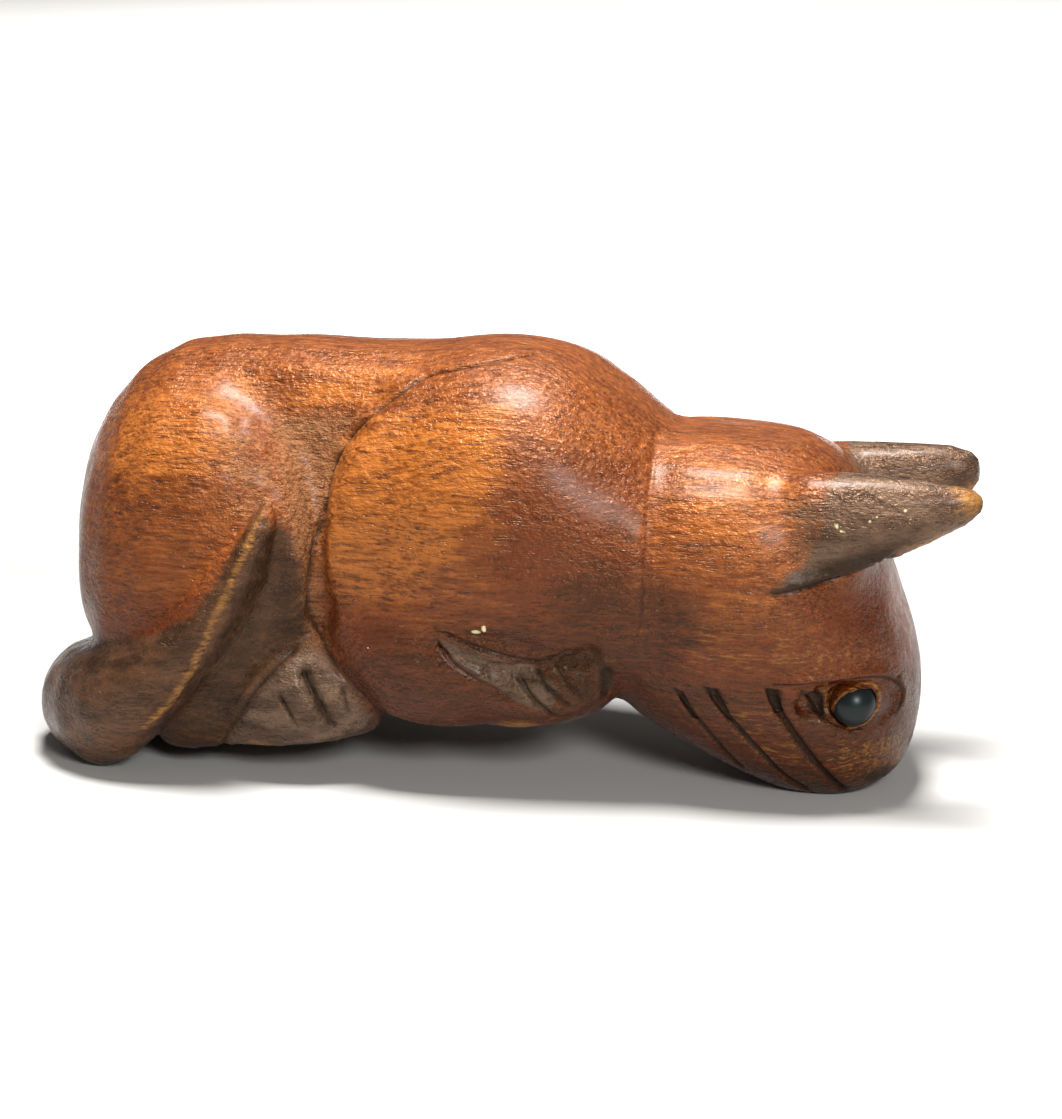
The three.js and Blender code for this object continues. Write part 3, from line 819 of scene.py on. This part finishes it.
REGIONS = (
    # Broad colour of the boards: orange heart and red shoulder, with painted shade in umber on the
    # underside
    Region(((-118, 118), (-78, 122), (-72, 104), (-92, 92), (-122, 96)), Tone.ORANGE, 0.75, 10),
    Region(((-120, 74), (-88, 74), (-90, 60), (-118, 58)), Tone.ORANGE, 0.6, 8),
    Region(
        ((-50, 110), (-20, 120), (8, 124), (10, 104), (-4, 80), (-22, 60), (-50, 56)),
        Tone.ORANGE, 0.95, 7,
    ),
    Region(((-66, 128), (-20, 132), (-34, 118), (-60, 112)), Tone.ORANGE, 0.6, 7),
    Region(((54, 114), (100, 106), (96, 84), (74, 78), (55, 90)), Tone.ORANGE, 0.5, 9),
    Region(((68, 78), (86, 76), (92, 48), (72, 44), (64, 56)), Tone.ORANGE, 0.42, 6),
    Region(((86, 52), (116, 54), (124, 46), (92, 44)), Tone.ORANGE, 0.55, 4),
    Region(((14, 112), (48, 108), (54, 62), (44, 44), (14, 56), (2, 76)), Tone.RED, 0.9, 9),
    Region(((-126, 82), (-84, 78), (-90, 50), (-120, 44)), Tone.RED, 0.55, 9),
    Region(((90, 74), (130, 80), (134, 44), (100, 52)), Tone.RED, 0.8, 8),
    # Painted shade in umber under the chest, low on shoulder and neck, and under the jaw and chin
    Region(((-34, 52), (-8, 58), (38, 58), (44, 30), (10, 10), (-40, 10)), Tone.UMBER, 0.85, 8),
    Region(((22, 76), (50, 78), (72, 68), (62, 30), (30, 30)), Tone.UMBER, 0.8, 9),
    Region(((56, 46), (76, 38), (92, 18), (104, 8), (104, -8), (60, -8), (48, 30)), Tone.UMBER, 0.95, 6),
    Region(((100, 10), (128, 12), (128, -8), (100, -8)), Tone.UMBER, 0.7, 4),
    # Pale band on the haunch's crest, partly paler wood and partly a painted highlight, then the rough
    # channel of the waist
    Region(((-90, 120), (-74, 117), (-62, 102), (-59, 84), (-68, 80), (-78, 96)), Tone.ROUGH, 0.5, 6),
    Region(WAIST, Tone.ROUGH, 0.85, 5),
    # Dark stained tail on the near side, and painted shade on the tail's lower plane and the thigh beside
    # it
    Region(TAIL, Tone.STAIN, 0.85, 3, sides=(NEAR,)),
    Region(TAIL_SHADE, Tone.GRIME_AND_SHADE, 0.52, 3, depth=0.7, edge=5, sides=(NEAR,)),
    # Feet and paws, with painted shade in the pocket under the chest and in the gap beside the paw
    Region(HIND_FOOT, Tone.ASH, 0.9, 4),
    Region(PAW, Tone.ASH, 1.0, 1.5),
    Region(POCKET, Tone.UMBER, 1.0, 2.5, depth=1.8, edge=4),
    Region(PAW_GAP, Tone.GRIME_AND_SHADE, 0.9, 1.6, depth=1.4, edge=3),
    Region(((18, 46), (30, 54), (42, 54), (44, 44), (36, 32), (24, 28)), Tone.ROUGH, 0.9, 3),
    Region(((18, 46), (30, 52), (42, 50), (40, 38), (34, 30), (24, 28)), Tone.STAIN, 0.6, 3),
    # Ochre figure on the head and the cheek, and a lighter muzzle that is partly paler wood and partly a
    # painted highlight
    Region(((66, 66), (96, 62), (128, 56), (126, 43), (96, 42), (62, 44)), Tone.OCHRE, 0.31, 8),
    Region(((64, 40), (96, 40), (112, 10), (100, 4), (76, 16)), Tone.OCHRE, 0.25, 6),
    Region(((108, 25), (130, 25), (133, 4), (112, 3), (103, 14)), Tone.OCHRE, 0.34, 5),
    # Eye socket, with painted shade in its inner notch and a painted highlight on the lit wood left of the
    # bead
    Region(SOCKET, Tone.RED, 1.0, 1.5, depth=1.1, edge=1.4),
    Region(NOTCH, Tone.GRIME_AND_SHADE, 1.0, 1.2, depth=1.0, edge=2),
    Region(((103, 39), (108, 41), (107.5, 33), (110, 27), (105, 30)), Tone.OCHRE, 0.36, 1.8),
    # Upper ends of the whiskers
    Region(((87.5, 41.5), (93, 41), (93, 33), (91, 32)), Tone.GRIME_AND_SHADE, 1.0, 0.8, depth=1.7, edge=1.8),
    Region(((68.5, 40.5), (74, 40), (79, 27), (76, 29)), Tone.GRIME_AND_SHADE, 1.0, 0.8, depth=1.7, edge=1.8),
    Region(((59, 39), (63, 38), (68, 27), (65, 28)), Tone.GRIME_AND_SHADE, 1.0, 0.8, depth=1.3, edge=1.8),
    # Ears, with painted shadow along the crease under each ear
    Region(EAR, Tone.ASH, 1.0, 2.5, from_y=12),
    Region(((90, 98), (106, 104), (110, 84), (96, 80)), Tone.ASH, 0.7, 9, from_y=12),
    Region(EAR_SHADE, Tone.GRIME_AND_SHADE, 0.8, 2.5, from_y=12),
    Region(((138, 104), (152, 105), (152, 96), (144, 94)), Tone.OCHRE, 0.62, 4, from_y=12, sides=(NEAR,)),
    Region(((126, 86), (142, 93), (146, 90), (128, 81)), Tone.OCHRE, 0.42, 1.8, from_y=12),
    Region(((145, 106), (153, 106), (153, 94), (147, 92)), Tone.OCHRE, 0.4, 2, from_y=12, sides=(FAR,)),
)

PATCHES = (
    # Dark lower end of rump and tail
    Patch((-136, 0, 18), (24, 44, 20)),
    Patch((-116, -30, 22), (20, 24, 18)),
    # Worn edges of hind foot, paw and rump
    Patch((-70, -41, 11), (6, 6, 3), Tone.OCHRE, 0.5),
    Patch((12, -38, 23), (8, 6, 3), Tone.OCHRE, 0.5),
    Patch((-146, 6, 38), (10, 30, 3), Tone.OCHRE, 0.4),
    # Flecks of cream paint on the ear and over the paw
    Patch((107.5, -31, 92), (0.7, 8, 1.0), Tone.CREAM, 0.8),
    Patch((109, -31, 90.5), (0.9, 8, 0.5), Tone.CREAM, 0.8),
    Patch((117, -30, 93.5), (0.6, 8, 0.6), Tone.CREAM, 0.8),
    Patch((119, -30, 95), (0.4, 8, 0.4), Tone.CREAM, 0.7),
    Patch((127, -29, 97), (0.7, 8, 0.6), Tone.CREAM, 0.8),
    Patch((128.5, -29, 94.5), (0.3, 8, 0.3), Tone.CREAM, 0.7),
    Patch((1, -46, 55), (1.6, 4, 0.8), Tone.CREAM, 0.8),
    Patch((3.6, -46, 56.5), (0.7, 4, 1.2), Tone.CREAM, 0.8),
    # Dirt at the mouth's corner, and the dark nose
    Patch((122, -14, 8), (7, 8, 4), Tone.GRIME_AND_SHADE, 0.7),
    Patch((136, 0, 15), (7, 6, 4), Tone.UMBER, 1.0),
)


def add(nodes: Any, kind: str, settings: dict[Any, Any] | None = None, **links: Any) -> Any:
    """Adds one shader node with its settings and its incoming links.

    Args:
        nodes: The material's node tree.
        kind: The node's type name without its ShaderNode prefix.
        settings: Attribute names, or input names and numbers, with their values.
        links: Input names, with underscores for spaces, and the sockets they take.

    Returns:
        The new node.
    """
    node = nodes.nodes.new("ShaderNode" + kind)
    for key, value in (settings or {}).items():
        if isinstance(key, str) and hasattr(node, key):
            setattr(node, key, value)
        else:
            node.inputs[key].default_value = value
    for key, socket in links.items():
        number = key.removeprefix("in_")
        name = int(number) if number.isdigit() else key.replace("_", " ")
        nodes.links.new(socket, node.inputs[name])
    return node


def even_material(name: str, colour: str, **settings: float) -> bpy.types.Material:
    """Makes a material of one even colour.

    Args:
        name: The material's name.
        colour: Six hex digits with a leading hash.
        settings: Shader inputs with their values.

    Returns:
        The finished material.
    """
    material = bpy.data.materials.new(name)
    material.use_nodes = True
    inputs = material.node_tree.nodes["Principled BSDF"].inputs
    inputs["Base Color"].default_value = linear(colour)
    for key, value in settings.items():
        inputs[key].default_value = value
    return material


@dataclass(frozen=True)
class Grain:
    """A wood material's nodes, laid out along the grain.

    Attributes:
        tree: The material's node tree.
        place: Socket of the object's coordinates.
    """

    tree: Any
    place: Any

    def noise(self, long: float, wide: float, detail: float, rough: float) -> Any:
        """Noise stretched along the grain, with its sizes in millimetres.

        Args:
            long: Size of a feature along the grain.
            wide: Size of a feature across the grain.
            detail: How many finer layers are added.
            rough: How strong the finer layers are.

        Returns:
            The noise's value socket.
        """
        scale = (1 / (long * MM), 1 / (wide * MM), 1 / (wide * MM))
        mapped = add(self.tree, "Mapping", {"Scale": scale}, Vector=self.place).outputs[0]
        settings = {"Scale": 1.0, "Detail": detail, "Roughness": rough}
        return add(self.tree, "TexNoise", settings, Vector=mapped).outputs["Fac"]

    def ramp(self, value: Any, low: float, high: float, top: float, bottom: float = 0.0) -> Any:
        """Turns one range of a value into a range of shares.

        Args:
            value: The value's socket.
            low: The value that gives the bottom share.
            high: The value that gives the top share.
            top: The top share.
            bottom: The bottom share.

        Returns:
            The share's socket.
        """
        settings = {1: low, 2: high, 3: bottom, 4: top}
        return add(self.tree, "MapRange", settings, Value=value).outputs[0]

    def ragged(self, tone: Tone, edge: Any, share: float, spread: float = 0.6) -> Any:
        """A tone's share with an edge that frays along the grain.

        Args:
            tone: The tone, stored on the carving.
            edge: The noise that frays it.
            share: The strongest share of the colour.
            spread: How much of the edge the noise eats.

        Returns:
            The share's socket.
        """
        start = 0.3 + spread / 2
        frayed = self.gained(edge, spread, self.stored(tone))
        return self.ramp(frayed, start, start + 0.4, share)

    def stored(self, tone: Tone) -> Any:
        """Returns the socket of a tone that is stored on the carving."""
        return add(self.tree, "Attribute", {"attribute_name": tone.value}).outputs["Fac"]

    def gained(self, socket: Any, gain: float, other: Any) -> Any:
        """Returns the other socket's value plus a gain times the socket's value."""
        settings = {"operation": "MULTIPLY_ADD", 1: gain}
        return add(self.tree, "Math", settings, in_0=socket, in_2=other).outputs[0]

    def scaled(self, socket: Any, share: float) -> Any:
        """Returns the socket's value times a share."""
        settings = {"operation": "MULTIPLY", 1: share}
        return add(self.tree, "Math", settings, in_0=socket).outputs[0]

    def mix(self, share: Any, first: Any, second: Any) -> Any:
        """Mixes two colours.

        Args:
            share: Socket with the second colour's share.
            first: A hex colour or a colour socket.
            second: A hex colour or a colour socket.

        Returns:
            The mixed colour's socket.
        """
        node = add(self.tree, "Mix", {"data_type": "RGBA"}, in_0=share)
        for number, colour in ((6, first), (7, second)):
            if isinstance(colour, str):
                node.inputs[number].default_value = linear(colour)
            else:
                self.tree.links.new(colour, node.inputs[number])
        return node.outputs[2]


@dataclass(frozen=True)
class LacqueredHardwood:
    """Open-pored tropical hardwood, stained and brushed with satin lacquer.

    The eye reads warm orange and red-brown boards with short dark pores that run along the
    block, black-brown stain on ears, tail and paws, broken highlights on the lacquer, and
    painted shade on the underside, in the recesses and in the cuts.

    Attributes:
        amber, russet: Lighter and darker boards.
        orange: Bright figure and heartwood.
        red, umber: Red stain in the streaks, and umber in dark streaks and the nose; both also paint shade
            low on the body and in recesses.
        stain, stain_dark: Black-brown stain where it is thin and thick.
        ash, ash_dark: Grey film on ears, feet and paws where it is thin and thick.
        grime_and_shade: Dirt in the pores, and dirt with painted shade in the cuts, creases and gaps.
        ochre: Bare wood where edges are rubbed through, also painted highlight on the tail's ridge, the
            muzzle and the lit rim of the lids.
        cream: Flecks of paint.
        rough: Hewn wood in the waist and on the paw, and the pale band on the haunch's crest, partly a
            painted highlight.
        sheen: Tint of the highlights.
        pore_length, pore_width: Size of a pore in millimetres.
    """

    amber: str = "#8d4b20"
    russet: str = "#673416"
    orange: str = "#a76026"
    red: str = "#58240b"
    umber: str = "#2b0f03"
    stain: str = "#513522"
    stain_dark: str = "#29180c"
    ash: str = "#5a483a"
    ash_dark: str = "#33271f"
    grime_and_shade: str = "#0f0906"
    ochre: str = "#a67133"
    cream: str = "#ddd6a4"
    rough: str = "#8a5c38"
    sheen: str = "#ffc79c"
    pore_length: float = 4.2
    pore_width: float = 0.5

    def build(self) -> bpy.types.Material:
        """Makes the wood's material.

        Returns:
            The finished material.
        """
        material = bpy.data.materials.new("satin lacquered hardwood")
        material.use_nodes = True
        tree = material.node_tree
        tree.nodes.clear()
        grain = Grain(tree, add(tree, "TexCoord").outputs["Object"])
        edge = grain.noise(12, 2.4, 3, 0.65)
        bands = grain.noise(60, 14, 3, 0.55)
        blotch = grain.noise(30, 4.2, 5, 0.66)
        fibre = grain.noise(19, 1.1, 4, 0.65)
        curl = grain.noise(6.5, 1.3, 3, 0.6)
        pores = self.pores(grain)
        base = grain.mix(grain.ramp(bands, 0.38, 0.62, 0.55), self.russet, self.amber)
        base = grain.mix(grain.ragged(Tone.ORANGE, blotch, 0.85, 1.5), base, self.orange)
        base = grain.mix(grain.ramp(curl, 0.5, 0.74, 0.6), base, self.orange)
        # The red and umber tones also hold painted shade low on the body and in recesses; the rough tone
        # also holds a painted highlight on the haunch's crest
        for name, colour, share in (
            (Tone.RED, self.red, 0.9),
            (Tone.ROUGH, self.rough, 0.8),
            (Tone.UMBER, self.umber, 0.88),
        ):
            base = grain.mix(grain.ragged(name, blotch, share, 1.5), base, colour)
        base = grain.mix(grain.ramp(fibre, 0.46, 0.64, 0.72), base, self.red)
        base = grain.mix(grain.ramp(curl, 0.47, 0.32, 0.62), base, self.umber)
        shade = grain.ramp(grain.noise(16, 5, 4, 0.65), 0.4, 0.62, 1.0)
        for name, light, dark in (
            (Tone.STAIN, self.stain, self.stain_dark),
            (Tone.ASH, self.ash, self.ash_dark),
        ):
            stained = grain.mix(shade, light, dark)
            base = grain.mix(grain.ragged(name, edge, 0.94), base, stained)
        base = grain.mix(grain.scaled(pores, 0.55), base, self.grime_and_shade)
        scratch = grain.noise(7, 1.1, 3, 0.65)
        # Ochre: bare rubbed wood, and painted highlights on the tail's ridge, the muzzle and the lids' rim
        base = grain.mix(grain.ragged(Tone.OCHRE, scratch, 0.85, 1.1), base, self.ochre)
        # Dirt and painted shade in the cuts, creases, gaps and under the ears
        base = grain.mix(grain.ragged(Tone.GRIME_AND_SHADE, edge, 0.96), base, self.grime_and_shade)
        crumbs = grain.noise(1.6, 1.2, 2, 0.6)
        base = grain.mix(grain.ragged(Tone.CREAM, crumbs, 0.95, 0.7), base, self.cream)
        lacquer = {
            "IOR": 1.45,
            "Coat Weight": 0.12,
            "Coat Roughness": 0.26,
            "Coat IOR": 1.5,
            "Specular IOR Level": 0.55,
            "Specular Tint": linear(self.sheen),
        }
        shader = add(
            tree,
            "BsdfPrincipled",
            lacquer,
            Base_Color=base,
            Roughness=self.roughness(grain),
            Normal=self.bump(grain, pores, fibre),
        )
        add(tree, "OutputMaterial", None, Surface=shader.outputs[0])
        return material

    def pores(self, grain: Grain) -> Any:
        """Short dark pores that lie along the grain, closer together in some bands.

        Args:
            grain: The wood's node tree.

        Returns:
            A socket that is one in a pore and zero between pores.
        """
        fine = grain.noise(self.pore_length, self.pore_width, 1, 0.4)
        both = grain.gained(grain.noise(34, 10, 2, 0.5), 0.35, fine)
        return grain.ramp(both, 0.78, 0.88, 1.0)

    def roughness(self, grain: Grain) -> Any:
        """Satin lacquer, duller in the rough places and where stain and dirt lie.

        Args:
            grain: The wood's node tree.

        Returns:
            The roughness socket.
        """
        sheen = grain.ramp(grain.noise(14, 6, 3, 0.6), 0.35, 0.65, 0.42, 0.19)
        for tone, gain in ((Tone.ROUGH, 0.15), (Tone.GRIME_AND_SHADE, 0.35), (Tone.OCHRE, 0.2)):
            sheen = grain.gained(grain.stored(tone), gain, sheen)
        return sheen

    def bump(self, grain: Grain, pores: Any, fibre: Any) -> Any:
        """Pores, raised fibres and brush marks that break up the highlights.

        Args:
            grain: The wood's node tree.
            pores: The pore socket.
            fibre: The streak noise.

        Returns:
            The normal socket.
        """
        tree = grain.tree
        grit = grain.noise(2.6, 1.9, 3, 0.62)
        even = add(tree, "Bump", {"Strength": 1.0, "Distance": 0.001}, Height=grit).outputs[0]
        chisel = grain.noise(3.4, 2.2, 4, 0.7)
        rough = grain.stored(Tone.ROUGH)
        cuts = add(tree, "Math", {"operation": "MULTIPLY"}, in_0=chisel, in_1=rough).outputs[0]
        settings = {"Strength": 1.0, "Distance": 0.0028}
        hewn = add(tree, "Bump", settings, Height=cuts, Normal=even).outputs[0]
        settings = {"Strength": 0.5, "Distance": 0.0005}
        lined = add(tree, "Bump", settings, Height=fibre, Normal=hewn).outputs[0]
        settings = {"Strength": 0.6, "Distance": 0.0003, "invert": True}
        return add(tree, "Bump", settings, Height=pores, Normal=lined).outputs[0]


@dataclass(frozen=True)
class EyeGlass:
    """Dark teal glass, a little dulled by lacquer, which gives one soft round highlight.

    Attributes:
        body: The glass's colour.
        roughness: How dull its surface is.
        ior: Its index of refraction, which sets how strongly it shines.
    """

    body: str = "#121a1a"
    roughness: float = 0.34
    ior: float = 1.34

    def build(self) -> bpy.types.Material:
        """Returns the glass bead's material."""
        settings = {"Roughness": self.roughness, "IOR": self.ior}
        return even_material("polished teal glass", self.body, **settings)


@dataclass
class EyeBead:
    """A glass bead seated in its carved socket."""

    node: str
    glass: bpy.types.Material

    def build(self) -> bpy.types.Object:
        """Makes the bead as a round ball in the place of the solid one.

        Returns:
            The finished bead.
        """
        low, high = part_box(self.node)
        centre, size = (low + high) / 2, high - low
        work = bmesh.new()
        bmesh.ops.create_uvsphere(work, u_segments=48, v_segments=24, radius=min(size) / 2)
        bmesh.ops.translate(work, verts=work.verts, vec=centre)
        mesh = bpy.data.meshes.new(self.node + " glass")
        work.to_mesh(mesh)
        work.free()
        for face in mesh.polygons:
            face.use_smooth = True
        mesh.materials.append(self.glass)
        obj = link(bpy.data.objects.new(self.node + "_glass_bead", mesh))
        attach(obj, "root")
        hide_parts(self.node)
        return obj


@dataclass
class Studio:
    """Pale floor, soft lights and the camera at the photograph's angle.

    Attributes:
        azimuth: The camera's turn towards the head, in degrees.
        elevation: Its height above the horizon, in degrees.
        roll: Its lean, in degrees.
        distance: From the camera to the aim, in metres.
        aim: The place that the camera was measured from, in metres.
        aim_pixel: Where that place shows in the photograph.
        photo_size: Width and height of the photograph in pixels.
        pixel_size: Size of one of the photograph's pixels at the aim, in metres.
        sensor: Width of the camera's sensor in millimetres.
        paper: Colour of the floor.
        room_light: Strength of the room's even light.
    """

    azimuth: float = 12.4
    elevation: float = 15.7
    roll: float = 0.13
    distance: float = 0.9
    aim: Point = (0.00198, 0.00308, 0.06439)
    aim_pixel: Place = (514.0, 560.0)
    photo_size: Place = (1062.0, 1119.0)
    pixel_size: float = 0.0003165
    sensor: float = 36.0
    paper: str = "#b4b2af"
    room_light: float = 0.15

    def camera(self) -> None:
        """Adds the camera."""
        turn, rise = math.radians(self.azimuth), math.radians(self.elevation)
        level = math.cos(rise)
        back = Vector((math.sin(turn) * level, -math.cos(turn) * level, math.sin(rise)))
        data = bpy.data.cameras.new("camera")
        data.sensor_width = self.sensor
        data.lens = self.sensor * self.distance / (self.pixel_size * self.photo_size[1])
        data.shift_x = (self.photo_size[0] / 2 - self.aim_pixel[0]) / self.photo_size[1]
        data.shift_y = (self.aim_pixel[1] - self.photo_size[1] / 2) / self.photo_size[1]
        camera = link(bpy.data.objects.new("camera", data))
        camera.location = Vector(self.aim) + back * self.distance
        lean = Quaternion(back, math.radians(self.roll))
        camera.rotation_mode = "QUATERNION"
        camera.rotation_quaternion = lean @ (-back).to_track_quat("-Z", "Y")
        bpy.context.scene.camera = camera

    def floor(self) -> None:
        """Adds a wide pale floor."""
        work = bmesh.new()
        bmesh.ops.create_grid(work, x_segments=1, y_segments=1, size=6)
        mesh = bpy.data.meshes.new("floor")
        work.to_mesh(mesh)
        work.free()
        mesh.materials.append(even_material("matte pale paper", self.paper, Roughness=0.9))
        link(bpy.data.objects.new("floor", mesh))

    def lamp(self, name: str, at: Point, aim: Point, size: float, power: float) -> None:
        """Adds one soft square light.

        Args:
            name: The light's name.
            at: Its place in metres.
            aim: The place it faces, in metres.
            size: Length of its side in metres.
            power: Its power in watts.
        """
        data = bpy.data.lights.new(name, "AREA")
        data.size = size
        data.energy = power
        lamp = link(bpy.data.objects.new(name, data))
        lamp.location = at
        lamp.rotation_euler = (Vector(aim) - Vector(at)).to_track_quat("-Z", "Y").to_euler()

    def build(self) -> None:
        """Sets up the whole stage."""
        self.camera()
        self.floor()
        self.lamp("overhead softbox", (0.0, -0.05, 1.0), (0, 0, 0.07), 0.28, 26)
        self.lamp("front softbox", (0.5, -0.86, 0.58), (0, 0, 0.07), 0.26, 9)
        self.lamp("backdrop light", (0.0, 1.2, 1.2), (0, 2.6, 0), 1.6, 210)
        world = bpy.data.worlds.new("soft white room")
        bpy.context.scene.world = world
        world.use_nodes = True
        background = world.node_tree.nodes["Background"]
        background.inputs["Color"].default_value = linear("#ffffff")
        background.inputs["Strength"].default_value = self.room_light
        bpy.context.scene.view_settings.view_transform = "Standard"


def triangles(obj: bpy.types.Object) -> int:
    """Returns how many triangles the object's faces make."""
    return sum(len(face.vertices) - 2 for face in obj.data.polygons)


def main() -> None:
    """Builds the cat, its eyes and the studio."""
    logging.basicConfig(level=logging.INFO, format="%(name)s: %(message)s")
    cat = CatCarving(STROKES, REGIONS, PATCHES).build()
    LOG.info("%s: %d triangles", cat.name, triangles(cat))
    glass = EyeGlass().build()
    for node in EYES:
        bead = EyeBead(node, glass).build()
        LOG.info("%s: %d triangles", bead.name, triangles(bead))
    Studio().build()


if __name__ == "__main__":
    main()
